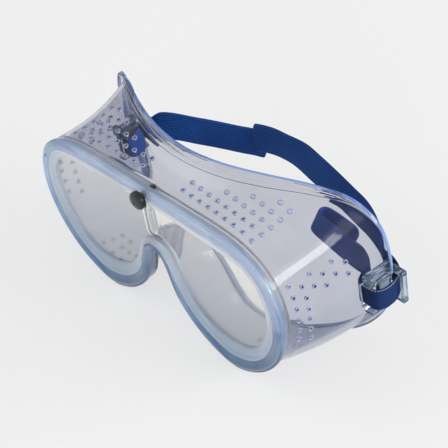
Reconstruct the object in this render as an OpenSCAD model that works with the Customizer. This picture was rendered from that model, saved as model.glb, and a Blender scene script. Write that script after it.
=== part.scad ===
// Safety goggles for school and workshop use: a clear wide-vision mask with a soft moulded
// frame, one flat lens, a black lens rivet, perforated side vents and an elastic headband.
// Units are millimetres. X runs across the face, the lens looks along -Y, Z is up.
// The goggles stand on the lower edges of the lens rim and of the face flange, at Z = 0.

/* [Lens] */
// thickness of the flat lens
lens_t = 2; // [1.5:0.1:3]
// depth by which the lens edge sits in the rim groove
lens_bite = 3; // [2:0.1:3.2]
// height by which the stiffening rib stands in front of the lens
rib_h = 0.8; // [0:0.2:3]
// height of the lens centre above the surface the goggles stand on
lens_centre_z = 37.5; // [37.5:0.5:45]

/* [Rim] */
// front-to-back depth of the rim
rim_depth = 6.5; // [5:0.5:9]
// thickness of the lip in front of the lens
lip_t = 1.6; // [1:0.1:2.5]
// width of the solid rim section around the lens
rim_w = 4.4; // [3.5:0.1:6]
// height of the raised bead around the front of the rim
bead_h = 0.8; // [0.4:0.1:1.5]

/* [Skirt and flange] */
// wall thickness of the skirt
skirt_t = 1.6; // [1.2:0.1:2.5]
// thickness of the flange that lies against the face
flange_t = 1.8; // [1.2:0.1:3]
// depth of the skirt at the middle of the brow
brow_y = 21.5; // [18:0.5:30]
// how fast the face edge sweeps back towards the temples
face_sweep = 0.0056; // [0.004:0.0001:0.007]
// diameter of each vent hole
vent_d = 2; // [1:0.1:3]

/* [Rivet] */
// diameter of the rivet head
rivet_d = 8; // [6:0.5:10]
// distance from the top of the rim to the rivet centre
rivet_drop = 4.5; // [4.4:0.1:5]
// height by which the rivet head stands in front of the bead
rivet_proud = 3.4; // [3:0.1:4]

/* [Headband] */
// width of the elastic band
band_w = 16; // [14:1:20]
// width of the band where it gathers in the strap loops
loop_w = 11; // [10:0.5:12]
// thickness of the elastic band
band_t = 1.2; // [0.8:0.1:1.4]
// height of the strap loops above the lens centre
lug_dz = -7.5; // [-9:0.5:-5]

/* [Hidden] */

back_y = 87.19;
head_y = -bead_h - rivet_proud;
shift_y = -(head_y + back_y) / 2;
lens_y = lip_t + 0.6;
rib_w = 5.4;
shank_d = 3;
rivet_end = rim_depth + 1.1;
skirt_step = 0.55;
lug_z = lug_dz;
arm_in = loop_w / 2 + 0.8;
gap = 0.3;
steps = 4;
rows = 6;

// Half outlines, right side, from the top centre round to the nose: [x, height from lens centre].
// The first is the outer edge of the rim, the second the window that its front lip leaves open.
rim_pts = [[0, 37], [18, 37], [36, 37], [50, 36], [62, 31.5], [71, 22.5], [75.5, 8], [74, -7],
  [67, -21], [55.5, -32], [41, -38], [28, -34.5], [17.5, -27], [10.5, -18], [7.5, -8], [5, 1],
  [0, 4.5]];
window_pts = [[0, 28.5], [15, 28], [30, 27], [45, 26.5], [56, 25], [63, 19], [66, 9], [65, -2],
  [60, -13], [52, -20.5], [41, -23], [30, -21], [21.5, -16], [15, -8], [11.5, 0], [7, 6.5], [0, 8.7]];
base_pts = [[0, 38.5], [20, 38.5], [40, 38.5], [56, 37.5], [69, 33], [77, 22], [79.5, 7],
  [79, -9], [75, -23], [65, -33], [48, -36.6], [36, -35.5], [27.5, -30.5], [22, -22], [17.5, -12],
  [11, -2.5], [0, 2]];
edge_pts = [[0, 43], [20, 43], [40, 42.6], [57, 41], [71, 36.6], [80.5, 25.5], [83.8, 8],
  [82.8, -10], [77.2, -24], [66, -34], [48, -37.1], [33, -36.9], [22.5, -32.5], [17, -23.5],
  [13, -13.5], [8, -4.8], [0, -1.5]];

// Smooth curve through points, one coordinate pair at a time.
function bend(a, b, c, d, t) =
  0.5 * (2 * b + (c - a) * t + (2 * a - 5 * b + 4 * c - d) * t * t
  + (3 * b - a - 3 * c + d) * t * t * t);
function flip(p) = [-p[0], p[1]];
function half(p) = let (n = len(p) - 1) [for (i = [0:n - 1], k = [0:steps - 1])
  bend(i == 0 ? flip(p[1]) : p[i - 1], p[i], p[i + 1], i == n - 1 ? flip(p[n - 1]) : p[i + 2],
  k / steps)];
function outline(p) = let (h = half(p), n = len(h))
  concat(h, [p[len(p) - 1]], [for (i = [n - 1:-1:1]) flip(h[i])]);
function unit(v) = v / norm(v);
function turn(v) = [v[1], -v[0]];
function inset(c, d) = let (n = len(c)) [for (i = [0:n - 1])
  c[i] + d * turn(unit(c[(i + 1) % n] - c[(i + n - 1) % n]))];

rim_line = outline(rim_pts);
window_line = outline(window_pts);
base_line = outline(base_pts);
edge_line = outline(edge_pts);
count = len(rim_line);

function face_y(x) = brow_y + face_sweep * x * x;
function edge_y(x) = brow_y + 2.4 + 0.0062 * x * x - 0.0000003 * x * x * x * x;
function waist(s) = -2.2 * sin(180 * s);
function ease(v) = let (t = min(1, max(0, v))) t * t * (3 - 2 * t);
// The waist turns into a slight bulge at the lower outer corners.
function corner(q) = 1 - 1.7 * ease((-2 - q[1]) / 18) * ease((abs(q[0]) - 45) / 17);

// Rings of the skirt between the rim (s = 0) and the flange (s = 1), d below the outer skin.
function rim_way(j) = turn(unit(rim_line[(j + 1) % count] - rim_line[(j + count - 1) % count]));
function ring(s, d) = let (a = inset(rim_line, skirt_step + d), b = inset(base_line, d))
  [for (j = [0:count - 1]) let (w = a[j] + (b[j] - a[j]) * s - rim_way(j) * waist(s) * corner(base_line[j]))
    [w[0], rim_depth + (face_y(base_line[j][0]) - rim_depth) * s, w[1]]];

// Closed wall between an outer and an inner grid of points; a loop joins its ends instead.
module wall(a, b, loop = false) {
  n = len(a);
  m = len(a[0]);
  k = n * m;
  last = loop ? m - 1 : m - 2;
  pts = concat([for (r = a, p = r) p], [for (r = b, p = r) p]);
  skin = [for (i = [0:n - 2], j = [0:last]) let (o = i * m + j, q = i * m + (j + 1) % m) each
    [[o, q, q + m], [o, q + m, o + m]]];
  back = [for (f = skin) [f[2] + k, f[1] + k, f[0] + k]];
  near = [for (j = [0:last]) let (q = (j + 1) % m) each [[q, j, j + k], [q, j + k, q + k]]];
  far = [for (j = [0:last]) let (o = (n - 1) * m + j, q = (n - 1) * m + (j + 1) % m) each
    [[o, q, q + k], [o, q + k, o + k]]];
  left = [for (i = [0:n - 2], o = [i * m]) each [[o, o + m, o + m + k], [o, o + m + k, o + k]]];
  right = [for (i = [0:n - 2], o = [i * m + m - 1]) each
    [[o + m, o, o + k], [o + m, o + k, o + m + k]]];
  ends = loop ? [] : concat(left, right);
  polyhedron(points = pts, faces = concat(skin, back, near, far, ends), convexity = 6);
}

// Part of the skirt between two stations of the outline.
module skirt(from, to) {
  span = [for (j = [from:to]) (j + count) % count];
  outer = [for (i = [0:rows]) let (r = ring(i / rows, 0)) [for (j = span) r[j]]];
  inner = [for (i = [0:rows]) let (r = ring(i / rows, skirt_t)) [for (j = span) r[j]]];
  wall(inner, outer);
}

// Flat ring between two outlines, from y0 to y1, trimmed level with the standing surface.
module ring_between(c0, c1, y0, y1) {
  translate([0, y1, 0])
    rotate([90, 0, 0])
      linear_extrude(y1 - y0)
        difference() {
          polygon(c0);
          polygon(c1);
          translate([-100, -lens_centre_z - 20])
            square([200, 20]);
        }
}

// The same ring between two insets of the rim outline.
module rim_ring(d0, d1, y0, y1) {
  ring_between(inset(rim_line, d0), inset(rim_line, d1), y0, y1);
}

module rod_y(d, y0, y1) {
  translate([0, y1, rim_pts[0][1] - rivet_drop])
    rotate([90, 0, 0])
      cylinder(d = d, h = y1 - y0, $fn = 48);
}

module rivet_hole() {
  rod_y(shank_d + 0.2, -2, 9);
}

// Elastic strap standing on edge. Each point of its path is [x, y, height above the strap loops,
// share of the way from the gathered to the full width].
function mid(p, i, t) = let (n = len(p) - 1)
  bend(i == 0 ? 2 * p[0] - p[1] : p[i - 1], p[i], p[i + 1], i == n - 1 ? 2 * p[n] - p[n - 1] : p[i + 2], t);
function path(p) = concat([for (i = [0:len(p) - 2], k = [0:3]) mid(p, i, k / 4)], [p[len(p) - 1]]);
function plan(q) = [q[0], q[1]];
function across(c, i) = turn(unit(plan(c[min(len(c) - 1, i + 1)]) - plan(c[max(0, i - 1)])));
function strap_edge(c, d, s) = [for (i = [0:len(c) - 1])
  let (q = plan(c[i]) + d * across(c, i), w = loop_w + (band_w - loop_w) * c[i][3])
  [q[0], q[1], lug_z + c[i][2] + s * w / 2]];
module strap(p) {
  c = path(p);
  front = [for (s = [-1, 1]) strap_edge(c, band_t / 2, s)];
  rear = [for (s = [-1, 1]) strap_edge(c, -band_t / 2, s)];
  wall(rear, front);
}

module placed() {
  translate([0, shift_y, lens_centre_z])
    children();
}

module mirrored() {
  mirror([1, 0, 0])
    children();
}

// Rim section with the groove that holds the lens.
module rim() {
  color([0.62, 0.70, 0.86])
    placed()
      difference() {
        rim_ring(0, rim_w, lip_t, rim_depth);
        rim_ring(rim_w - lens_bite, rim_w + 1, lens_y, lens_y + lens_t + 0.1);
        rivet_hole();
      }
}

module front_lip() {
  color([0.66, 0.73, 0.88])
    placed()
      difference() {
        ring_between(inset(rim_line, 0.3), window_line, 0, lip_t);
        rivet_hole();
      }
}

module front_bead() {
  color([0.58, 0.67, 0.86])
    placed()
      difference() {
        rim_ring(1.2, 3, -bead_h, 0);
        rivet_hole();
      }
}

// Single clear lens that covers both eyes, with the rivet hole at the top and an upright
// stiffening rib down its middle.
module lens() {
  color([0.85, 0.88, 0.9, 0.35])
    placed()
      difference() {
        union() {
          translate([0, lens_y + lens_t, 0])
            rotate([90, 0, 0])
              linear_extrude(lens_t)
                polygon(inset(rim_line, rim_w - lens_bite + 0.1));
          translate([0, 0, 12])
            linear_extrude(14)
              polygon([[-rib_w, lens_y + 0.5], [-rib_w / 2, lens_y - rib_h], [rib_w / 2, lens_y - rib_h],
                [rib_w, lens_y + 0.5]]);
        }
        rivet_hole();
      }
}

// Rivet head: a thick disc with a stepped face that stands on the bead.
module rivet_head() {
  color([0.06, 0.08, 0.07])
    placed() {
      rod_y(rivet_d - 1.6, head_y, head_y + 1);
      rod_y(rivet_d, head_y + 0.6, -bead_h);
    }
}

module rivet_shank() {
  color([0.07, 0.09, 0.08])
    placed()
      rod_y(shank_d, -bead_h, rivet_end);
}

// Spread end of the rivet behind the rim.
module rivet_cap() {
  color([0.06, 0.08, 0.07])
    placed()
      difference() {
        rod_y(shank_d + 0.8, rim_depth, rivet_end);
        rod_y(shank_d, 0, 9);
      }
}

// Vents of the brow, one side: five rows that shorten towards the back.
module brow_vents() {
  for (r = [[0, 9], [1, 9], [2, 6], [3, 4], [4, 2]], i = [0:r[1] - 1])
    translate([55 - 5.3 * i, 9 + 5.1 * r[0] + 0.32 * i, 28])
      cylinder(d = vent_d, h = 14, $fn = 16);
}

// Vents of the temple: three slanting rows above a double column.
module temple_vents() {
  for (r = [[10, 19, 4], [20.8, 18.1, 4], [31.6, 17.4, 2]], i = [0:r[2] - 1])
    translate([66, r[0] + 5.6 * i, r[1] - 3.3 * i])
      rotate([0, 90, 0])
        cylinder(d = vent_d, h = 18, $fn = 16);
  for (c = [[10.2, 14], [16.2, 10]], i = [0:4])
    translate([56, c[0], c[1] - 5.5 * i])
      rotate([0, 90, 0])
        cylinder(d = vent_d, h = 28, $fn = 16);
}

// Vents of the cheek, one side.
module cheek_vents() {
  for (r = [[0, 4], [1, 4], [2, 2]], i = [0:r[1] - 1])
    translate([57.6 - 5.75 * i, 12 + 5.3 * r[0], -40])
      cylinder(d = vent_d, h = 16, $fn = 16);
}

module skirt_top() {
  color([0.80, 0.82, 0.86, 0.4])
    placed()
      difference() {
        skirt(-4 * steps, 4 * steps);
        brow_vents();
        mirrored()
          brow_vents();
      }
}

// Temple wall, slotted for the strap.
module skirt_side_right() {
  color([0.80, 0.82, 0.86, 0.4])
    placed()
      difference() {
        skirt(4 * steps, 8 * steps);
        temple_vents();
        translate([70, 42.6, lug_z - loop_w / 2 - 0.6])
          cube([20, 4.4, loop_w + 1.2]);
      }
}

module skirt_side_left() {
  mirrored()
    skirt_side_right();
}

module skirt_bottom_right() {
  color([0.80, 0.82, 0.86, 0.4])
    placed()
      difference() {
        skirt(8 * steps, 12 * steps);
        cheek_vents();
      }
}

module skirt_bottom_left() {
  mirrored()
    skirt_bottom_right();
}

module nose_bridge() {
  color([0.60, 0.70, 0.88, 0.6])
    placed()
      skirt(12 * steps, 20 * steps);
}

// Soft flange that follows the face, its edge cut away where the strap loops stand.
module face_flange() {
  span = [for (j = [0:count - 1]) j];
  lip = 3;
  outer = [for (i = [0:lip]) [for (j = span)
    let (q = base_line[j] + (edge_line[j] - base_line[j]) * i / lip, f = i / lip)
    [q[0], face_y(base_line[j][0]) * (1 - f) + edge_y(edge_line[j][0]) * f, q[1]]]];
  b = inset(base_line, skirt_t);
  inner = [for (i = [0:lip]) [for (j = span)
    let (p0 = b[j], q = p0 + (edge_line[j] - p0) * i / lip, f = i / lip)
    [q[0], flange_t + face_y(base_line[j][0]) * (1 - f) + edge_y(edge_line[j][0]) * f, q[1]]]];
  color([0.56, 0.68, 0.90, 0.6])
    placed()
      difference() {
        wall(inner, outer, true);
        for (s = [-1, 1])
          translate([s * 83 - 3.5, 41.6, lug_z - arm_in - 3.2])
            cube([7, 18.4, 2 * arm_in + 6.4]);
      }
}

// Moulded strap loop: two angled arms, a middle bar in the strap's bend and a rear bar.
module lug_right() {
  color([0.66, 0.75, 0.88, 0.6])
    placed()
      translate([0, 0, lug_z]) {
        for (z = [arm_in, -arm_in - 2]) {
          translate([79.9, 42.6, z])
            cube([1.8, 16.2, 2]);
          translate([79.9, 56.2, z])
            cube([6.5, 2.6, 2]);
        }
        translate([79.9, 47.2, -arm_in - 0.5])
          cube([2.3, 6.8, 2 * arm_in + 1]);
        translate([84.6, 56.2, -arm_in - 0.5])
          cube([1.8, 2.6, 2 * arm_in + 1]);
      }
}

module lug_left() {
  mirrored()
    lug_right();
}

// Turn of the strap round the middle bar of its loop.
module strap_loop_right() {
  color([0.06, 0.13, 0.34])
    placed()
      strap([[74.2, 44.8, 0, 0], [77, 44.8, 0, 0], [80, 44.4, 0, 0], [82.6, 45.2, 0, 0],
        [84.2, 48.4, 0, 0], [84.2, 52.6, 0, 0], [82.9, 56.6, 0.1, 0], [80.4, 60.2, 0.4, 0.1],
        [77, 61.4, 1.2, 0.5], [74.2, 61.4, 1.9, 0.8]]);
}

module strap_loop_left() {
  mirrored()
    strap_loop_right();
}

// Headband from the right loop to the sewn lap.
module band_right() {
  color([0.07, 0.16, 0.40])
    placed()
      strap([[74.2 - gap, 61.4, 2, 0.84], [71.4, 61.4, 2.9, 1], [68.4, 64.4, 4.4, 1],
        [62, 68.6, 5.8, 1], [52, 73, 6.6, 1], [40, 76.4, 6.6, 1], [28, 79.6, 6.6, 1],
        [14, 83, 6.6, 1], [0, 86, 6.4, 1], [-14, 86.5, 6.2, 1], [-22, 85.6, 5.8, 1],
        [-28.5, 83.9, 5.2, 1]]);
}

// Headband from the left loop, ending behind the right part.
module band_left() {
  color([0.07, 0.16, 0.40])
    placed()
      mirrored()
        strap([[74.2 - gap, 61.4, 2, 0.84], [71, 61.4, 4.2, 1], [67.5, 62.6, 6.4, 1],
          [62, 65.6, 6.6, 1], [54, 70.4, 5.2, 1], [46, 75.6, 3.6, 1], [36, 81.6, 1.6, 1],
          [31, 84.5, 0.9, 1], [25.5, 86.4, 0.5, 1]]);
}

// Rows of thread that close the lap.
module lap_stitches() {
  color([0.10, 0.20, 0.46])
    placed()
      for (k = [0:3])
        translate([-27.3, 84.5, lug_z - 2.4 + 3 * k])
          cube([0.7, 1.4, 1.6]);
}

// Free end of the strap inside the right temple, folded back on itself.
module tail_right() {
  color([0.07, 0.16, 0.40])
    placed()
      strap([[74.2 - gap, 44.8, 0, 0], [72.8, 44.8, 0.1, 0.1], [71.8, 48.4, 0.5, 0.6],
        [71, 52.8, 1.6, 0.9], [66, 55, 4, 1], [60, 54, 6.6, 1], [50, 53.4, 10, 0.9],
        [42, 53.6, 12.2, 0.8], [39.4, 55.8, 12.8, 0.8], [41, 58.6, 12.2, 0.8], [47, 60, 10, 0.8],
        [54, 60.4, 8.4, 0.7], [57.5, 60.2, 7.6, 0.4]]);
}

// Short free end of the strap inside the left temple.
module tail_left() {
  color([0.07, 0.16, 0.40])
    placed()
      mirrored()
        strap([[74.2 - gap, 44.8, 0, 0], [72.8, 44.8, 0.4, 0.1], [71.4, 47.6, 2, 0.5],
          [71, 52.6, 4.5, 0.7]]);
}

rim();
front_lip();
front_bead();
lens();
rivet_head();
rivet_shank();
rivet_cap();
skirt_top();
skirt_side_right();
skirt_side_left();
skirt_bottom_right();
skirt_bottom_left();
nose_bridge();
face_flange();
lug_right();
lug_left();
strap_loop_right();
strap_loop_left();
band_right();
band_left();
lap_stitches();
tail_right();
tail_left();
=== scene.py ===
"""Safety goggles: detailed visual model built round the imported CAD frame."""

import math

import bmesh
import bpy
import numpy as np
from mathutils import Matrix, Vector
from mathutils.bvhtree import BVHTree


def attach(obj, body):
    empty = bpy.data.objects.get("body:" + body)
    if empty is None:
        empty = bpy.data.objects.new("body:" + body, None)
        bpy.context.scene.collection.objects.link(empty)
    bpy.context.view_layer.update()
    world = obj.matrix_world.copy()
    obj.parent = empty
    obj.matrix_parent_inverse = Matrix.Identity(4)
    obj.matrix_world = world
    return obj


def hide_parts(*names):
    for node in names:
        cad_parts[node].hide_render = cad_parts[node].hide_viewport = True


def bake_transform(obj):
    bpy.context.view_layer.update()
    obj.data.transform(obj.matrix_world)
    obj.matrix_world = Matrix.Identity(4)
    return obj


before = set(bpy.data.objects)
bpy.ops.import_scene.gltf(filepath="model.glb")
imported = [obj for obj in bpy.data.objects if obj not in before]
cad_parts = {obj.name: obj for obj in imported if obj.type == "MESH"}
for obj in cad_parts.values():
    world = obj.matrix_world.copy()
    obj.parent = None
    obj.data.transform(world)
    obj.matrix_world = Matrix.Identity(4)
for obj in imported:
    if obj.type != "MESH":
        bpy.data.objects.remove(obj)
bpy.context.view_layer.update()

# ---------------------------------------------------------------- dimensions, as in the CAD part
MM = 0.001
SHIFT_Y, LENS_Z = -41.495, 37.5
RIM_DEPTH, SKIRT_T, FLANGE_T = 6.5, 1.6, 1.8
BROW_Y, SWEEP = 21.5, 0.0056
VENT_D = 2.0
SKIRT_STEP = 0.55
WAIST, CORNER_TURN = 2.2, 1.7
LENS_Y, LENS_T, LENS_INSET = 2.2, 2.0, 1.5
BAND_W, LOOP_W, BAND_T, LUG_Z = 16.0, 11.0, 1.2, -7.5
ARM_IN = LOOP_W / 2 + 0.8
FULL_HEIGHT = 0.08  # metres
STEPS = 12

# Half outlines seen from the front, in mm from the lens centre: outer edge of the rim, window in
# the lip, root of the face flange and edge of the flange.

RIM_PTS = [(0, 37), (18, 37), (36, 37), (50, 36), (62, 31.5), (71, 22.5), (75.5, 8), (74, -7),
           (67, -21), (55.5, -32), (41, -38), (28, -34.5), (17.5, -27), (10.5, -18), (7.5, -8),
           (5, 1), (0, 4.5)]
WINDOW_PTS = [(0, 28.5), (15, 28), (30, 27), (45, 26.5), (56, 25), (63, 19), (66, 9), (65, -2),
              (60, -13), (52, -20.5), (41, -23), (30, -21), (21.5, -16), (15, -8), (11.5, 0),
              (7, 6.5), (0, 8.7)]
BASE_PTS = [(0, 38.5), (20, 38.5), (40, 38.5), (56, 37.5), (69, 33), (77, 22), (79.5, 7),
            (79, -9), (75, -23), (65, -33), (48, -36.6), (36, -35.5), (27.5, -30.5), (22, -22),
            (17.5, -12), (11, -2.5), (0, 2)]
EDGE_PTS = [(0, 43), (20, 43), (40, 42.6), (57, 41), (71, 36.6), (80.5, 25.5), (83.8, 8),
            (82.8, -10), (77.2, -24), (66, -34), (48, -37.1), (33, -36.9), (22.5, -32.5),
            (17, -23.5), (13, -13.5), (8, -4.8), (0, -1.5)]


def bend(a, b, c, d, t):
    """Point at share t between b and c of a smooth curve through four points."""
    return 0.5 * (2 * b + (c - a) * t + (2 * a - 5 * b + 4 * c - d) * t * t
                  + (3 * b - a - 3 * c + d) * t ** 3)


def outline(points, steps=STEPS):
    """Closed smooth outline through a half outline and its mirror image."""
    p = np.array(points, float)
    n = len(p) - 1
    flip = np.array([-1, 1])
    ext = np.vstack([p[1] * flip, p, p[n - 1] * flip])
    half = [bend(ext[i], ext[i + 1], ext[i + 2], ext[i + 3], k / steps)
            for i in range(n) for k in range(steps)]
    return np.array(half + [p[n]] + [h * flip for h in half[:0:-1]])


def inward(c):
    """Unit vectors that point into a closed outline."""
    d = np.roll(c, -1, 0) - np.roll(c, 1, 0)
    d /= np.linalg.norm(d, axis=1)[:, None]
    return np.c_[d[:, 1], -d[:, 0]]


RIM, WINDOW, BASE, EDGE = (outline(p) for p in (RIM_PTS, WINDOW_PTS, BASE_PTS, EDGE_PTS))
RIM_IN, BASE_IN = inward(RIM), inward(BASE)
COUNT = len(RIM)


def face_y(x):
    """Depth of the root of the flange."""
    return BROW_Y + SWEEP * x * x


def edge_y(x):
    """Depth of the edge of the flange."""
    return BROW_Y + 2.4 + 0.0062 * x * x - 3e-7 * x ** 4


def row3(xz, y):
    """Ring of points in the row frame, in metres, from x-z pairs and depths in mm."""
    y = np.broadcast_to(y, (len(xz),))
    return np.c_[xz[:, 0], y + SHIFT_Y, np.maximum(xz[:, 1] + LENS_Z, 0)] * MM


def smooth(a, b, x):
    """Soft step from 0 at a to 1 at b."""
    t = np.clip((x - a) / (b - a), 0, 1)
    return t * t * (3 - 2 * t)


def skirt_ring(s, depth):
    """Ring of the skirt at share s from rim to flange: a waist, with a bulge at the lower corners."""
    a = RIM + RIM_IN * (SKIRT_STEP + depth)
    b = BASE + BASE_IN * depth
    corner = smooth(0, 18, -2 - BASE[:, 1]) * smooth(45, 62, abs(BASE[:, 0]))
    q = a + (b - a) * s + RIM_IN * WAIST * math.sin(math.pi * s) * (1 - CORNER_TURN * corner)[:, None]
    return row3(q, RIM_DEPTH + (face_y(BASE[:, 0]) - RIM_DEPTH) * s)


def pt(x, y, z):
    """Point in the row frame, in metres, from a point in mm from the lens centre."""
    return Vector((x * MM, (y + SHIFT_Y) * MM, (z + LENS_Z) * MM))


# ---------------------------------------------------------------- mesh helpers
def new_object(name, verts, faces, material, soft=True):
    me = bpy.data.meshes.new(name)
    me.from_pydata([tuple(map(float, v)) for v in verts], [], faces)
    me.validate()
    me.update()
    if soft:
        me.polygons.foreach_set("use_smooth", [True] * len(me.polygons))
    me.materials.append(material)
    ob = bpy.data.objects.new(name, me)
    bpy.context.scene.collection.objects.link(ob)
    return ob


def grid_faces(n, m, wrap_n=False, wrap_m=False, base=0):
    """Faces of an n by m grid of points, wrapped where asked."""
    out = []
    for i in range(n if wrap_n else n - 1):
        for j in range(m if wrap_m else m - 1):
            a, b = i, (i + 1) % n
            c, d = j, (j + 1) % m
            out.append((base + a * m + c, base + a * m + d, base + b * m + d, base + b * m + c))
    return out


def recalc(ob):
    """Turns all faces outwards."""
    bm = bmesh.new()
    bm.from_mesh(ob.data)
    bmesh.ops.recalc_face_normals(bm, faces=bm.faces)
    bm.to_mesh(ob.data)
    bm.free()


def sharpen(ob, degrees=38):
    """Smooth shading that keeps the creases sharper than this angle."""
    bm = bmesh.new()
    bm.from_mesh(ob.data)
    limit = math.radians(degrees)
    for e in bm.edges:
        if len(e.link_faces) == 2 and e.calc_face_angle(0) > limit:
            e.smooth = False
    bm.to_mesh(ob.data)
    bm.free()


def apply_modifiers(ob):
    """Replaces the mesh by the one its modifiers make."""
    dg = bpy.context.evaluated_depsgraph_get()
    dg.update()
    me = bpy.data.meshes.new_from_object(ob.evaluated_get(dg))
    old = ob.data
    ob.modifiers.clear()
    ob.data = me
    bpy.data.meshes.remove(old)


# ---------------------------------------------------------------- materials
def material(name):
    m = bpy.data.materials.new(name)
    m.use_nodes = True
    nt = m.node_tree
    return m, nt, nt.nodes["Principled BSDF"]


def node(nt, kind, **values):
    n = nt.nodes.new(kind)
    for k, v in values.items():
        if k in n.inputs:
            n.inputs[k].default_value = v
        else:
            setattr(n, k, v)
    return n


def ramp(nt, stops):
    """Colour ramp through (position, colour) stops."""
    r = nt.nodes.new("ShaderNodeValToRGB")
    el = r.color_ramp.elements
    while len(el) < len(stops):
        el.new(0.5)
    for e, (p, c) in zip(el, stops):
        e.position = p
        e.color = c if len(c) == 4 else (*c, 1)
    return r


def noise(nt, scale, detail=4.0, rough=0.5):
    tc = nt.nodes.new("ShaderNodeTexCoord")
    n = node(nt, "ShaderNodeTexNoise", Scale=scale, Detail=detail, Roughness=rough)
    nt.links.new(tc.outputs["Object"], n.inputs["Vector"])
    return n


def add_bump(nt, bsdf, height, strength, distance):
    b = node(nt, "ShaderNodeBump", Strength=strength, Distance=distance)
    nt.links.new(height, b.inputs["Height"])
    nt.links.new(b.outputs["Normal"], bsdf.inputs["Normal"])


def glassy(name, tint, ior, rough, cloud_scale, peel, spread=0.06, clear=1.0, low=(1, 1, 1)):
    """Clear plastic that bends light: tint and gloss a little uneven, surface faintly rippled,
    and painted shade that darkens the tint towards the colour low at the bottom."""
    m, nt, b = material(name)
    cloud = noise(nt, cloud_scale, 3)
    pale = tuple(min(1.0, c + spread) for c in tint)
    col = ramp(nt, [(0.32, tint), (0.68, pale)])
    nt.links.new(cloud.outputs["Fac"], col.inputs["Fac"])
    sep = nt.nodes.new("ShaderNodeSeparateXYZ")
    nt.links.new(nt.nodes.new("ShaderNodeTexCoord").outputs["Object"], sep.inputs["Vector"])
    height = node(nt, "ShaderNodeMath", operation="DIVIDE")
    height.inputs[1].default_value = FULL_HEIGHT
    nt.links.new(sep.outputs["Z"], height.inputs[0])
    # painted shade: the tint is multiplied towards low near the bottom of the goggles
    bottom_shade = ramp(nt, [(0.1, low), (0.8, (1, 1, 1))])
    nt.links.new(height.outputs[0], bottom_shade.inputs["Fac"])
    tinted = node(nt, "ShaderNodeMixRGB", blend_type="MULTIPLY", Fac=1.0)
    nt.links.new(col.outputs["Color"], tinted.inputs["Color1"])
    nt.links.new(bottom_shade.outputs["Color"], tinted.inputs["Color2"])
    nt.links.new(tinted.outputs["Color"], b.inputs["Base Color"])
    rr = ramp(nt, [(0.35, (rough * 0.5,) * 3), (0.7, (rough * 1.6,) * 3)])
    nt.links.new(cloud.outputs["Fac"], rr.inputs["Fac"])
    nt.links.new(rr.outputs["Color"], b.inputs["Roughness"])
    b.inputs["IOR"].default_value = ior
    b.inputs["Transmission Weight"].default_value = clear
    ripple = noise(nt, peel[0], 2)
    add_bump(nt, b, ripple.outputs["Fac"], peel[1], 0.0005)
    return m


PEEL = (120, 0.03)
# The last colour given to the wall, land, rim, edge and lens materials is their painted shade towards the
# bottom.
PVC_WALL = glassy("pvc_wall", (0.61, 0.62, 0.685), 1.24, 0.05, 45, (120, 0.05), 0.06, 0.985,
                  (0.82, 0.86, 0.92))
PVC_LAND = glassy("pvc_land", (0.90, 0.92, 0.96), 1.30, 0.12, 60, PEEL, 0.04, 0.62, (0.66, 0.76, 0.84))
PVC_RIM = glassy("pvc_rim", (0.43, 0.57, 0.90), 1.35, 0.10, 110, PEEL, 0.26, 0.80, (0.34, 0.45, 0.53))
PVC_EDGE = glassy("pvc_edge", (0.17, 0.33, 0.82), 1.38, 0.10, 60, (160, 0.04), 0.04, 0.70,
                  (0.8, 0.8, 0.8))
# painted shade: a near-black tint for the thin dark line along the root of the flange
PVC_CREASE_SHADE = glassy("pvc_crease_painted_shade", (0.04, 0.06, 0.16), 1.38, 0.10, 60, (160, 0.04), 0.03, 0.60)
PVC_LUG = glassy("pvc_lug", (0.52, 0.64, 0.75), 1.42, 0.06, 90, (200, 0.05), 0.06, 0.95)
PVC_VENT = glassy("pvc_vent", (0.62, 0.68, 0.98), 1.30, 0.05, 200, (300, 0.05), 0.0, 0.66)
LENS = glassy("polycarbonate", (0.95, 0.94, 0.92), 1.50, 0.05, 22, (26, 0.02), 0.03, 0.94,
              (0.74, 0.78, 0.81))

RIBS = 11


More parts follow.
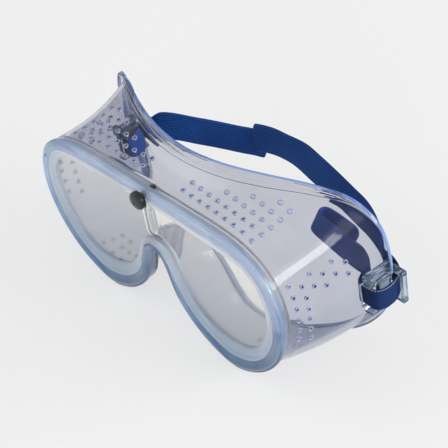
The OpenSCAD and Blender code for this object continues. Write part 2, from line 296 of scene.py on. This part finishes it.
def elastic_material(name, dark, light):
    """Woven elastic: fine cross weave over the modelled ribs, colour a little uneven, with painted shade
    darkening the grooves between the ribs.
    """
    m, nt, b = material(name)
    uv = nt.nodes.new("ShaderNodeUVMap")
    uv.uv_map = "UVMap"
    sep = nt.nodes.new("ShaderNodeSeparateXYZ")
    nt.links.new(uv.outputs["UV"], sep.inputs["Vector"])
    weave = node(nt, "ShaderNodeTexWave", Scale=34.0, Distortion=0.6, Detail=2.0, bands_direction="X")
    nt.links.new(uv.outputs["UV"], weave.inputs["Vector"])
    fuzz = noise(nt, 1400, 3, 0.6)
    patch = noise(nt, 45, 3)
    mul = node(nt, "ShaderNodeMath", operation="MULTIPLY")
    nt.links.new(weave.outputs["Fac"], mul.inputs[0])
    nt.links.new(fuzz.outputs["Fac"], mul.inputs[1])
    col = ramp(nt, [(0.1, dark), (0.62, light)])
    nt.links.new(mul.outputs[0], col.inputs["Fac"])
    shade = ramp(nt, [(0.3, (0.80, 0.82, 0.88)), (0.7, (1.1, 1.1, 1.1))])
    nt.links.new(patch.outputs["Fac"], shade.inputs["Fac"])
    mix = node(nt, "ShaderNodeMixRGB", blend_type="MULTIPLY", Fac=1.0)
    nt.links.new(col.outputs["Color"], mix.inputs["Color1"])
    nt.links.new(shade.outputs["Color"], mix.inputs["Color2"])
    turns = node(nt, "ShaderNodeMath", operation="MULTIPLY")
    turns.inputs[1].default_value = math.pi * RIBS
    nt.links.new(sep.outputs["Y"], turns.inputs[0])
    swing = node(nt, "ShaderNodeMath", operation="COSINE")
    nt.links.new(turns.outputs[0], swing.inputs[0])
    level = node(nt, "ShaderNodeMath", operation="MULTIPLY_ADD")
    level.inputs[1].default_value = 0.5
    level.inputs[2].default_value = 0.5
    nt.links.new(swing.outputs[0], level.inputs[0])
    # painted shade: the colour is darkened in the grooves between the ribs
    groove = ramp(nt, [(0.05, (0.40, 0.42, 0.48)), (0.45, (1.0, 1.0, 1.0))])
    nt.links.new(level.outputs[0], groove.inputs["Fac"])
    ribbed = node(nt, "ShaderNodeMixRGB", blend_type="MULTIPLY", Fac=1.0)
    nt.links.new(mix.outputs["Color"], ribbed.inputs["Color1"])
    nt.links.new(groove.outputs["Color"], ribbed.inputs["Color2"])
    nt.links.new(ribbed.outputs["Color"], b.inputs["Base Color"])
    b.inputs["Roughness"].default_value = 0.82
    b.inputs["Specular IOR Level"].default_value = 0.2
    b.inputs["Sheen Weight"].default_value = 0.06
    b.inputs["Sheen Tint"].default_value = (0.35, 0.5, 1.0, 1.0)
    add_bump(nt, b, mul.outputs[0], 0.6, 0.00025)
    return m


def black_material():
    """Black moulded plastic with a faint grain."""
    m, nt, b = material("rivet_black")
    n = noise(nt, 300, 3)
    col = ramp(nt, [(0.3, (0.006, 0.010, 0.008)), (0.7, (0.016, 0.024, 0.020))])
    nt.links.new(n.outputs["Fac"], col.inputs["Fac"])
    nt.links.new(col.outputs["Color"], b.inputs["Base Color"])
    b.inputs["Roughness"].default_value = 0.32
    add_bump(nt, b, n.outputs["Fac"], 0.15, 0.0002)
    return m


def thread_material(name, colour):
    """Twisted thread: a fine grain of two shades."""
    m, nt, b = material(name)
    n = noise(nt, 2600, 2)
    col = ramp(nt, [(0.3, tuple(c * 0.7 for c in colour)), (0.7, colour)])
    nt.links.new(n.outputs["Fac"], col.inputs["Fac"])
    nt.links.new(col.outputs["Color"], b.inputs["Base Color"])
    b.inputs["Roughness"].default_value = 0.7
    add_bump(nt, b, n.outputs["Fac"], 0.4, 0.0001)
    return m


BLACK = black_material()
ELASTIC = elastic_material("elastic_navy", (0.007, 0.052, 0.215), (0.018, 0.14, 0.57))
# painted light: a brighter copy of the navy elastic for the tails, which lie in shade inside the frame
TAIL = elastic_material("elastic_tail_painted_light", (0.006, 0.070, 0.34), (0.018, 0.17, 0.74))
# painted shade: a darker copy of the elastic for the turns round the strap loops
TURN_SHADE = elastic_material("elastic_turn_painted_shade", (0.003, 0.020, 0.08), (0.007, 0.048, 0.20))
NAVY_THREAD = thread_material("thread_navy", (0.015, 0.045, 0.15))
PALE_THREAD = thread_material("thread_pale", (0.62, 0.66, 0.72))

# ---------------------------------------------------------------- skirt and face flange
ROWS, FLAP = 22, 7
LAND_ROWS, EDGE_ROWS, SIDE_ROWS = 9, 3, 3
IN_WALL, IN_RIM, IN_EDGE, IN_LAND, IN_CREASE_SHADE = range(5)
LIP_NOMINAL = 8.8
# Front of the rim from the window out to the edge: (distance in from the edge at a lip of the
# nominal width, depth)
LIP_PROFILE = [(8.8, 2.1), (8.8, 1.5), (8.6, 1.1), (8.0, 0.85), (6.4, 0.7), (6.1, 0.55), (5.85, 0.15),
               (5.5, -0.05), (5.0, -0.05), (4.7, 0.15), (4.45, 0.3), (4.2, 0.2), (3.8, -0.15),
               (3.3, -0.5), (2.6, -0.72), (1.9, -0.66), (1.35, -0.35), (1.0, 0.1), (0.8, 0.5)]
# Side of the rim: (inset, depth)
SIDE_PROFILE = [(0.55, 0.62), (0.3, 0.62), (0.1, 0.85), (0.0, 1.3), (0.0, 1.9), (0.08, 2.4),
                (0.3, 2.85), (0.62, 3.1), (0.66, 3.5), (0.57, 4.2), (SKIRT_STEP, 5.4)]
# Back of the rim and the groove that holds the lens: (inset, depth)
BACK_PROFILE = [(2.6, 6.5), (3.9, 6.5), (4.3, 6.3), (4.4, 5.9), (4.4, 4.8), (4.2, 4.35), (3.9, 4.3),
                (1.7, 4.3), (1.4, 4.1), (1.4, 2.3), (1.6, 2.12)]


def frame_shell():
    """The soft frame as one closed moulding: rim, skirt and flange, swept round the outline."""
    lip = [row3(RIM + (WINDOW - RIM) * d / LIP_NOMINAL, y) for d, y in LIP_PROFILE]
    edge = [row3(RIM + RIM_IN * d, y) for d, y in SIDE_PROFILE]
    outer = [skirt_ring(s, 0) for s in np.linspace(0, 0.975, ROWS)]
    inner = [skirt_ring(s, SKIRT_T) for s in np.linspace(0.985, 0.0, ROWS)]
    back = [row3(RIM + RIM_IN * d, y) for d, y in BACK_PROFILE]
    base_y, lip_y = face_y(BASE[:, 0]), edge_y(EDGE[:, 0])
    out = EDGE - BASE
    front, rear = [], []
    # groove at the root of the flange, two fine steps across it and a thick rounded edge
    for f, lift in ((0.015, 0.0), (0.05, 0.55), (0.12, 0.75), (0.18, 0.35), (0.24, 0.05),
                    (0.40, 0.0), (0.43, 0.35), (0.50, 0.4), (0.54, 0.05), (0.70, -0.05),
                    (0.73, 0.25), (0.80, 0.3), (0.84, 0.05), (0.90, 0.15), (0.955, 0.45)):
        front.append(row3(BASE + out * f, base_y * (1 - f) + lip_y * f - lift))
    front.append(row3(BASE + out * 0.985, lip_y - 0.25))
    front.append(row3(EDGE, lip_y + 0.35))
    front.append(row3(BASE + out * 0.99, lip_y + 0.95))
    rear.append(row3(BASE + out * 0.95, lip_y + 1.25))
    inside = BASE + BASE_IN * SKIRT_T
    out2 = EDGE - inside
    for f in np.linspace(0.88, 0.12, FLAP):
        rear.append(row3(inside + out2 * f, FLANGE_T - 0.5 + base_y * (1 - f) + lip_y * f))
    rear.append(row3(inside + out2 * 0.02, FLANGE_T - 0.9 + base_y))
    rings = lip + edge + outer + front + rear + inner + back
    faces = grid_faces(len(rings), COUNT, True, True)
    ob = new_object("soft_frame", np.vstack(rings), faces, PVC_WALL)
    for extra in (PVC_RIM, PVC_EDGE, PVC_LAND, PVC_CREASE_SHADE):
        ob.data.materials.append(extra)
    skin = len(lip + edge)
    fold = skin + len(outer + front)
    root = skin + len(outer)
    for k, face in enumerate(ob.data.polygons):
        row = k // COUNT
        slot = IN_WALL
        if row < LAND_ROWS or row >= len(rings) - len(back):
            slot = IN_LAND
        elif row < skin - SIDE_ROWS:
            slot = IN_RIM
        elif fold - EDGE_ROWS <= row <= fold:
            slot = IN_EDGE
        # the two rows at the root of the flange carry the painted dark line
        elif root <= row <= root + 1:
            slot = IN_CREASE_SHADE
        face.material_index = slot
    recalc(ob)
    return ob


# ---------------------------------------------------------------- vents and strap slots
VENT_OPEN = 0.62  # share of the vent that its raised rim leaves open
VENT_RING, VENT_RING_T = 0.92, 0.32  # radii of the raised rim: round the vent and of its section
RING_STEPS, RING_SIDES = 18, 7


def vent_list():
    """Places of the vents: a point well outside the wall and the way to the wall."""
    out = []
    for side in (1, -1):
        for row, n in enumerate((9, 9, 6, 4, 2)):
            for i in range(n):
                out.append((side * (55 - 5.3 * i), 9 + 5.1 * row + 0.32 * i, 60, (0, 0, -1)))
        for y0, z0, n in ((10, 19, 4), (20.8, 18.1, 4), (31.6, 17.4, 2)):
            for i in range(n):
                out.append((side * 110, y0 + 5.6 * i, z0 - 3.3 * i, (-side, 0, 0)))
        for y0, z0 in ((10.2, 14), (16.2, 10)):
            for i in range(5):
                out.append((side * 110, y0, z0 - 5.5 * i, (-side, 0, 0)))
        for row, n in enumerate((4, 4, 2)):
            for i in range(n):
                out.append((side * (57.6 - 5.75 * i), 12 + 5.3 * row, -60, (0, 0, 1)))
    return out


def tube_ring(centre, axis, major, minor, n=RING_STEPS, m=RING_SIDES):
    """Points of a ring of round section about an axis."""
    z = Vector(axis).normalized()
    x = z.orthogonal().normalized()
    y = z.cross(x)
    pts = []
    for i in range(n):
        a = 2 * math.pi * i / n
        r = x * math.cos(a) + y * math.sin(a)
        for j in range(m):
            b = 2 * math.pi * j / m
            pts.append(centre + r * (major + minor * math.cos(b)) + z * (minor * math.sin(b)))
    return pts


def pierce(shell):
    """Cuts the vents through the wall and gives each a raised rim on the outside."""
    tree = BVHTree.FromPolygons([v.co for v in shell.data.vertices],
                                [p.vertices[:] for p in shell.data.polygons])
    cut_v, cut_f, rim_v, rim_f = [], [], [], []
    n = 14
    for x, y, z, way in vent_list():
        hit, normal, _, _ = tree.ray_cast(pt(x, y, z), Vector(way))
        if hit is None:
            continue
        ax = -normal if normal.dot(Vector(way)) > 0 else normal
        u = ax.orthogonal().normalized()
        w = ax.cross(u)
        base = len(cut_v)
        for h in (0.9 * MM, -3.2 * MM):
            for i in range(n):
                a = 2 * math.pi * i / n
                spoke = u * math.cos(a) + w * math.sin(a)
                cut_v.append(hit + ax * h + spoke * VENT_D / 2 * MM * VENT_OPEN)
        cut_f.append(tuple(base + i for i in range(n)))
        cut_f.append(tuple(base + n + i for i in range(n - 1, -1, -1)))
        for i in range(n):
            j = (i + 1) % n
            cut_f.append((base + j, base + i, base + n + i, base + n + j))
        base = len(rim_v)
        rim_v += tube_ring(hit + ax * 0.05 * MM, ax, VENT_RING * MM, VENT_RING_T * MM)
        rim_f += grid_faces(RING_STEPS, RING_SIDES, True, True, base)
    cutter = new_object("cutter", cut_v, cut_f, PVC_WALL, soft=False)
    recalc(cutter)
    mod = shell.modifiers.new("vents", "BOOLEAN")
    mod.operation = "DIFFERENCE"
    mod.solver = "EXACT"
    mod.object = cutter
    apply_modifiers(shell)
    bpy.data.objects.remove(cutter)
    rims = new_object("vent_rims", rim_v, rim_f, PVC_VENT)
    recalc(rims)
    return rims


def box(lo, hi):
    """Corners and faces of a plain box between two corners, in mm."""
    v = [pt(x, y, z) for x in (lo[0], hi[0]) for y in (lo[1], hi[1]) for z in (lo[2], hi[2])]
    return v, [(0, 1, 3, 2), (4, 6, 7, 5), (0, 4, 5, 1), (2, 3, 7, 6), (0, 2, 6, 4), (1, 5, 7, 3)]


def boolean(ob, verts, faces, operation="DIFFERENCE"):
    tool = new_object("tool", verts, faces, PVC_WALL, soft=False)
    recalc(tool)
    mod = ob.modifiers.new("cut", "BOOLEAN")
    mod.operation = operation
    mod.solver = "EXACT"
    mod.object = tool
    apply_modifiers(ob)
    bpy.data.objects.remove(tool)


def open_for_straps(shell):
    """Slots for the strap in the temple walls, and room for the strap loops in the flange."""
    verts, faces = [], []
    for s in (-1, 1):
        for lo, hi in (((70, 42.6, LUG_Z - 6.1), (84, 47.0, LUG_Z + 6.1)),
                       ((79.5, 41.6, LUG_Z - ARM_IN - 3.2), (92, 60, LUG_Z + ARM_IN + 3.2))):
            v, f = box((s * lo[0], *lo[1:]), (s * hi[0], *hi[1:]))
            faces += [tuple(len(verts) + i for i in g) for g in f]
            verts += v
    boolean(shell, verts, faces)


shell = frame_shell()
vent_rims = pierce(shell)
open_for_straps(shell)
sharpen(shell, 40)

# ---------------------------------------------------------------- strap loops
def rounded_bar(lo, hi, r, seg=4):
    """Closed bar with rounded long edges between two corners, in mm."""
    lo, hi = np.array(lo, float), np.array(hi, float)
    size = hi - lo
    r = min(r, min(size) * 0.49)
    bm = bmesh.new()
    bmesh.ops.create_cube(bm, size=1.0)
    for v in bm.verts:
        v.co = Vector(tuple(lo + (np.array(v.co) + 0.5) * size))
    bmesh.ops.bevel(bm, geom=bm.edges[:], offset=r, segments=seg, profile=0.6, affect="EDGES")
    verts = [tuple(v.co) for v in bm.verts]
    faces = [tuple(v.index for v in f.verts) for f in bm.faces]
    bm.free()
    return verts, faces


def lug(side):
    """Strap loop: two arms with their ends turned outwards, a middle bar and a rear bar."""
    low, high = LUG_Z - ARM_IN, LUG_Z + ARM_IN
    parts = [((79.6, 47.2, low - 0.6), (82.2, 54, high + 0.6), 0.9),
             ((84.6, 56.0, low - 1.9), (86.4, 59.0, high + 1.9), 0.7),
             ((77.4, 42.4, high), (81.7, 45.4, high + 5.2), 0.9),
             ((77.2, 43.4, high + 3.6), (79.4, 58.6, high + 5.2), 0.7)]
    for z in (low - 2, high):
        parts.append(((77.2, 42.6, z), (81.7, 58.8, z + 2), 0.8))
        parts.append(((79.0, 56.0, z), (86.4, 59.0, z + 2), 0.8))
    verts, faces = [], []
    for lo, hi, r in parts:
        v, f = rounded_bar(lo, hi, r)
        k = len(verts)
        verts += [pt(side * a, b, c) for a, b, c in v]
        faces += [tuple(k + i for i in g) for g in f]
    ob = new_object("strap_loop_%s" % ("right" if side > 0 else "left"), verts, faces, PVC_LUG)
    recalc(ob)
    sharpen(ob, 40)
    return ob


lugs = [lug(1), lug(-1)]

# ---------------------------------------------------------------- lens and rivet
RIVET_Z = 32.5
RIB_H, RIB_W = 0.8, 5.4


def lens_plate():
    """Flat lens with an upright rib pressed forwards down its middle."""
    xs = np.unique(np.r_[np.linspace(-78, -8, 40), np.linspace(-8, 8, 33), np.linspace(8, 78, 40)])
    zs = np.linspace(-40, 40, 81)
    n, m = len(zs), len(xs)
    x, z = np.meshgrid(xs, zs)
    rib = smooth(RIB_W, 1.2, np.abs(x)) * smooth(9.4, 11.6, z) * smooth(28.0, 25.6, z)
    verts = [pt(*v) for v in np.c_[x.ravel(), (LENS_Y - RIB_H * rib).ravel(), z.ravel()]]
    verts += [pt(*v) for v in np.c_[x.ravel(), (LENS_Y + LENS_T - RIB_H * rib).ravel(), z.ravel()]]
    faces = grid_faces(n, m)
    faces += [tuple(n * m + i for i in f[::-1]) for f in grid_faces(n, m)]
    rim_loop = list(range(m)) + [i * m + m - 1 for i in range(1, n)]
    rim_loop += [(n - 1) * m + j for j in range(m - 2, -1, -1)] + [i * m for i in range(n - 2, 0, -1)]
    for a, b in zip(rim_loop, rim_loop[1:] + rim_loop[:1]):
        faces.append((b, a, n * m + a, n * m + b))
    ob = new_object("lens_plate", verts, faces, LENS)
    recalc(ob)
    c = RIM + RIM_IN * LENS_INSET
    prism = [pt(a, -3, b) for a, b in c] + [pt(a, 8, b) for a, b in c]
    walls = [(i, (i + 1) % COUNT, COUNT + (i + 1) % COUNT, COUNT + i) for i in range(COUNT)]
    boolean(ob, prism, walls + [tuple(range(COUNT)), tuple(range(2 * COUNT - 1, COUNT - 1, -1))],
            "INTERSECT")
    n = 40
    ring = [(1.6 * math.cos(2 * math.pi * i / n), RIVET_Z + 1.6 * math.sin(2 * math.pi * i / n))
            for i in range(n)]
    prism = [pt(a, -6, b) for a, b in ring] + [pt(a, 9, b) for a, b in ring]
    walls = [(i, (i + 1) % n, n + (i + 1) % n, n + i) for i in range(n)]
    caps = [tuple(range(n)), tuple(range(2 * n - 1, n - 1, -1))]
    boolean(ob, prism, walls + caps)
    sharpen(ob, 40)
    return ob


def lathe(name, profile, mat, centre_z, n=56):
    """Turned part about a line along Y: profile of (radius, depth) in mm."""
    verts = []
    for i in range(n):
        a = 2 * math.pi * i / n
        for r, y in profile:
            verts.append(pt(r * math.cos(a), y, centre_z + r * math.sin(a)))
    ob = new_object(name, verts, grid_faces(n, len(profile), True, False), mat)
    recalc(ob)
    sharpen(ob, 35)
    return ob


lens = lens_plate()
rivet = lathe("rivet_head_turned", [(0.001, -3.95), (0.9, -3.98), (1.1, -4.2), (2.2, -4.17), (2.5, -4.0),
                                    (2.7, -4.0), (3.2, -3.95), (3.75, -3.55), (4.0, -3.0), (4.0, -1.5),
                                    (3.85, -1.1), (3.4, -0.85), (1.5, -0.8), (1.45, 3.0), (0.001, 3.0)],
              BLACK, RIVET_Z)
rivet_back = lathe("rivet_cap_turned", [(0.001, 3.2), (1.45, 3.2), (1.45, 6.5), (1.85, 6.55), (1.9, 7.0),
                                        (1.6, 7.5), (0.001, 7.6)], BLACK, RIVET_Z)

# ---------------------------------------------------------------- elastic
def smooth_path(points, step=0.9):
    """Evenly spaced points on a smooth curve through the given ones, in mm."""
    p = np.array(points, float)
    ext = np.vstack([2 * p[0] - p[1], p, 2 * p[-1] - p[-2]])
    raw = np.array([bend(ext[i], ext[i + 1], ext[i + 2], ext[i + 3], t)
                    for i in range(len(p) - 1) for t in np.linspace(0, 1, 12, endpoint=False)] + [p[-1]])
    d = np.r_[0, np.cumsum(np.linalg.norm(np.diff(raw, axis=0), axis=1))]
    n = max(4, int(d[-1] / step))
    t = np.linspace(0, d[-1], n + 1)
    return np.array([np.interp(t, d, raw[:, k]) for k in range(raw.shape[1])]).T, t


ACROSS = RIBS * 6


def elastic(name, points, round_end, lean=None):
    """Flat ribbed elastic standing on edge along a path: x, y, height above the strap loops and
    share of the way from the gathered to the full width. lean gives the sideways and backwards
    slope of the width at a share of the length."""
    path, dist = smooth_path(points)
    tan = np.gradient(path[:, :2], axis=0)
    tan /= np.linalg.norm(tan, axis=1)[:, None]
    nor = np.c_[tan[:, 1], -tan[:, 0]]
    length = dist[-1]
    u = np.linspace(-1, 1, ACROSS + 1)
    rib = 0.5 + 0.5 * np.cos(np.pi * u * RIBS)
    edge = np.sqrt(np.clip(1 - np.abs(u) ** 14, 0, 1))
    half = (BAND_T / 2) * (0.72 + 0.28 * rib ** 0.6) * edge + 0.02
    rows, uvs = [], []
    for q, across, s in zip(path, nor, dist):
        hw = (LOOP_W + (BAND_W - LOOP_W) * q[3]) / 2
        left = length - s
        if left < round_end:
            hw -= round_end - math.sqrt(max(0.0, round_end ** 2 - (round_end - left) ** 2))
        up = np.array([*(lean(s / length) if lean else (0, 0)), 1], float)
        up /= np.linalg.norm(up)
        out = np.array([*across, 0])
        c = np.array([q[0], q[1], LUG_Z + q[2]])
        ring = [c + up * a * hw + out * h for a, h in zip(u, half)]
        ring += [c + up * a * hw - out * h for a, h in zip(u[::-1], half[::-1])]
        rows.append([pt(*v) for v in ring])
        uvs.append([(s / 10, a) for a in list(u) + list(u[::-1])])
    n, m = len(rows), len(rows[0])
    verts = [v for r in rows for v in r]
    faces = grid_faces(n, m, False, True)
    faces.append(tuple(range(m - 1, -1, -1)))
    faces.append(tuple((n - 1) * m + j for j in range(m)))
    ob = new_object(name, verts, faces, ELASTIC)
    flat = [c for r in uvs for c in r]
    layer = ob.data.uv_layers.new(name="UVMap")
    for loop in ob.data.loops:
        layer.data[loop.index].uv = flat[loop.vertex_index]
    recalc(ob)
    sharpen(ob, 60)
    return ob


LOOP_BAND = [(84.2, 50.6, 0, 0), (84.2, 52.6, 0, 0), (82.9, 56.6, 0.1, 0), (80.4, 60.2, 0.4, 0.1),
             (77, 61.4, 1.2, 0.5), (74.2, 61.4, 1.9, 0.8)]
LOOP_TAIL = [(84.2, 50.6, 0, 0), (84.2, 48.4, 0, 0), (82.6, 45.2, 0, 0), (80, 44.4, 0, 0),
             (77, 44.8, 0, 0), (74.2, 44.8, 0, 0)]
BAND_R = [(71.4, 61.4, 2.9, 1), (68.4, 64.4, 4.4, 1), (62, 68.6, 5.8, 1), (52, 73, 6.6, 1),
          (40, 76.4, 6.6, 1), (28, 79.6, 6.6, 1), (14, 83, 6.6, 1), (0, 86, 6.4, 1),
          (-14, 86.5, 6.2, 1), (-22, 85.6, 5.8, 1), (-28.5, 83.9, 5.2, 1)]
BAND_L = [(71, 61.4, 4.2, 1), (67.5, 62.6, 6.4, 1), (62, 65.6, 6.6, 1), (54, 70.4, 5.2, 1),
          (46, 75.6, 3.6, 1), (36, 81.6, 1.6, 1), (31, 84.5, 0.9, 1), (25.5, 86.4, 0.5, 1)]
TAIL_R = [(72.8, 44.8, 0.1, 0.1), (71.8, 48.4, 0.5, 0.6), (71, 52.8, 1.6, 0.9), (66, 55, 4, 1),
          (60, 54, 6.6, 1), (50, 53.4, 10, 0.9), (42, 53.6, 12.2, 0.8), (39.4, 55.8, 12.8, 0.8),
          (41, 58.6, 12.2, 0.8), (47, 60, 10, 0.8), (54, 60.4, 8.4, 0.7), (57.5, 60.2, 7.6, 0.4)]
TAIL_L = [(72.8, 44.8, 0.4, 0.1), (71.4, 47.6, 2, 0.5), (71, 52.6, 4.5, 0.7)]
TURN_X = 74.5


def flip_x(points):
    """The same path on the other side."""
    return [(-p[0], *p[1:]) for p in points]


strap_right = elastic("headband_right", LOOP_BAND + BAND_R, 1.6,
                      lean=lambda t: (0, 0.2 * smooth(0.2, 0.4, t) * (1 - smooth(0.72, 0.86, t))))
strap_left = elastic("headband_left", flip_x(LOOP_BAND + BAND_L), 2.5)
tail_right = elastic("tail_right_strap", LOOP_TAIL + TAIL_R, 4.0,
                     lean=lambda t: (0.5 * smooth(0.35, 0.6, t), 0))
tail_left = elastic("tail_left_strap", flip_x(LOOP_TAIL + TAIL_L), 3.0)
# Faces beyond TURN_X, round the strap loops, get the darker copy of the elastic as painted shade; the
# tails take their brighter painted-light copy.
for band, inside in ((strap_right, ELASTIC), (strap_left, ELASTIC),
                     (tail_right, TAIL), (tail_left, TAIL)):
    band.data.materials[0] = inside
    band.data.materials.append(TURN_SHADE)
    for face in band.data.polygons:
        face.material_index = int(abs(face.center.x) > TURN_X * MM)


def threads(name, spots, mat, radius=0.22, length=1.5):
    """Short stitches: small capsules at given places, each with a direction, in mm."""
    verts, faces = [], []
    n, m = 8, 8
    for place, way in spots:
        w = Vector(way).normalized()
        a = w.orthogonal().normalized()
        b = w.cross(a)
        base = len(verts)
        for i in range(n):
            f = -1 + 2 * i / (n - 1)
            r = radius * math.sqrt(max(0.0025, 1 - f ** 4))
            for j in range(m):
                t = 2 * math.pi * j / m
                v = Vector(place) + w * f * length / 2 + (a * math.cos(t) + b * math.sin(t)) * r
                verts.append(pt(*v))
        faces += grid_faces(n, m, False, True, base)
        faces.append(tuple(base + j for j in range(m - 1, -1, -1)))
        faces.append(tuple(base + (n - 1) * m + j for j in range(m)))
    ob = new_object(name, verts, faces, mat)
    recalc(ob)
    return ob


def edge_dots(side):
    """Pale rubber ends along the upper selvedge of a strap turn."""
    path, _ = smooth_path([(77, 44.8, 0, 0), (80, 44.4, 0, 0), (82.6, 45.2, 0, 0), (84.2, 48.4, 0, 0),
                           (84.2, 52.6, 0, 0), (82.9, 56.6, 0.1, 0)], 1.0)
    tan = np.gradient(path[:, :2], axis=0)
    tan /= np.linalg.norm(tan, axis=1)[:, None]
    spots = []
    for q, t in zip(path, tan):
        spots.append(((side * (q[0] + t[1] * 0.50), q[1] - t[0] * 0.50, LUG_Z + LOOP_W / 2 - 0.35),
                      (side * t[0], t[1], 0)))
    return spots


def lap_spots():
    """Two rows of stitches on the inner face of the right band, near its end."""
    path, dist = smooth_path(BAND_R)
    spots = []
    for back in (1.6, 4.2):
        q = path[np.searchsorted(dist, dist[-1] - back)]
        spots += [((q[0] - 0.12, q[1] - 0.58, LUG_Z + q[2] - 6.6 + 2.2 * i), (0, 0, 1)) for i in range(7)]
    return spots


lap = threads("lap_thread", lap_spots(), NAVY_THREAD)
dots = threads("edge_dots", edge_dots(1) + edge_dots(-1), PALE_THREAD, 0.2, 0.5)

# ---------------------------------------------------------------- riding and replacing
for piece in (shell, vent_rims, *lugs, lens, rivet, rivet_back, dots):
    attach(piece, "mask")
for x, piece in ((1, strap_right), (-1, strap_left)):
    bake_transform(piece)
for x, body, piece in ((1, "tail_right", tail_right), (-1, "tail_left", tail_left)):
    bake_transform(piece)
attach(lap, "headband")

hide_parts("rim", "front_lip", "front_bead", "skirt_top", "skirt_side_right", "skirt_side_left",
            "skirt_bottom_right", "skirt_bottom_left", "nose_bridge", "face_flange")
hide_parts("lens")
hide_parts("lug_right")
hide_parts("lug_left")
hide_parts("rivet_head", "rivet_shank")
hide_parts("rivet_cap")
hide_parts("band_right", "strap_loop_right")
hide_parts("band_left", "strap_loop_left")
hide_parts("tail_right")
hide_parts("tail_left")
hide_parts("lap_stitches")

# ---------------------------------------------------------------- floor, light and camera
FLOOR_HALF, FLOOR_Z, FLOOR_GLOW = 6.0, -0.0002, 0.64


def floor():
    """Plain pale floor."""
    m, nt, b = material("floor")
    n = noise(nt, 3, 2)
    col = ramp(nt, [(0.3, (0.24, 0.24, 0.24)), (0.7, (0.25, 0.25, 0.25))])
    nt.links.new(n.outputs["Fac"], col.inputs["Fac"])
    nt.links.new(col.outputs["Color"], b.inputs["Base Color"])
    b.inputs["Roughness"].default_value = 0.9
    b.inputs["Specular IOR Level"].default_value = 0.0
    b.inputs["Emission Color"].default_value = (1, 1, 1, 1)
    b.inputs["Emission Strength"].default_value = FLOOR_GLOW
    corners = [(x * FLOOR_HALF, y * FLOOR_HALF, FLOOR_Z) for x, y in ((-1, -1), (1, -1), (1, 1), (-1, 1))]
    ob = new_object("floor", corners, [(0, 1, 2, 3)], m, soft=False)


def area(name, place, size, power, target=(0, 0, 0.03)):
    """Soft rectangular light aimed at the goggles."""
    data = bpy.data.lights.new(name, "AREA")
    data.shape = "RECTANGLE"
    data.size, data.size_y = size
    data.energy = power
    ob = bpy.data.objects.new(name, data)
    ob.location = place
    way = Vector(target) - Vector(place)
    ob.rotation_euler = way.to_track_quat("-Z", "Y").to_euler()
    bpy.context.scene.collection.objects.link(ob)


floor()
area("key", (1.14, 0.67, 0.37), (1.2, 0.34), 15)
area("key_halo", (1.14, 0.68, 0.46), (1.7, 0.55), 6)
area("fill", (-0.9, -0.6, 1.1), (0.9, 0.9), 5)
area("front", (0.5, -1.4, 0.7), (0.9, 0.5), 4)

world = bpy.data.worlds.new("World")
world.use_nodes = True
sky = world.node_tree.nodes["Background"]
sky.inputs["Color"].default_value = (0.93, 0.94, 0.96, 1)
sky.inputs["Strength"].default_value = 0.55
bpy.context.scene.world = world

cam_data = bpy.data.cameras.new("camera")
cam = bpy.data.objects.new("camera", cam_data)
bpy.context.scene.collection.objects.link(cam)
right = Vector((0.6700, 0.7302, -0.1335))
down = Vector((0.4114, -0.5150, -0.7520))
ahead = Vector((-0.6179, 0.4489, -0.6455))
rot = Matrix((right, -down, -ahead)).transposed().to_4x4()
cam.matrix_world = Matrix.Translation(pt(386.0, -242.9, 395.9)) @ rot
cam_data.sensor_width = 36
cam_data.lens = 117
cam_data.clip_start = 0.01

scene = bpy.context.scene
scene.camera = cam
scene.view_settings.view_transform = "Standard"
scene.cycles.transparent_max_bounces = 32
scene.cycles.max_bounces = 24
scene.cycles.transmission_bounces = 24
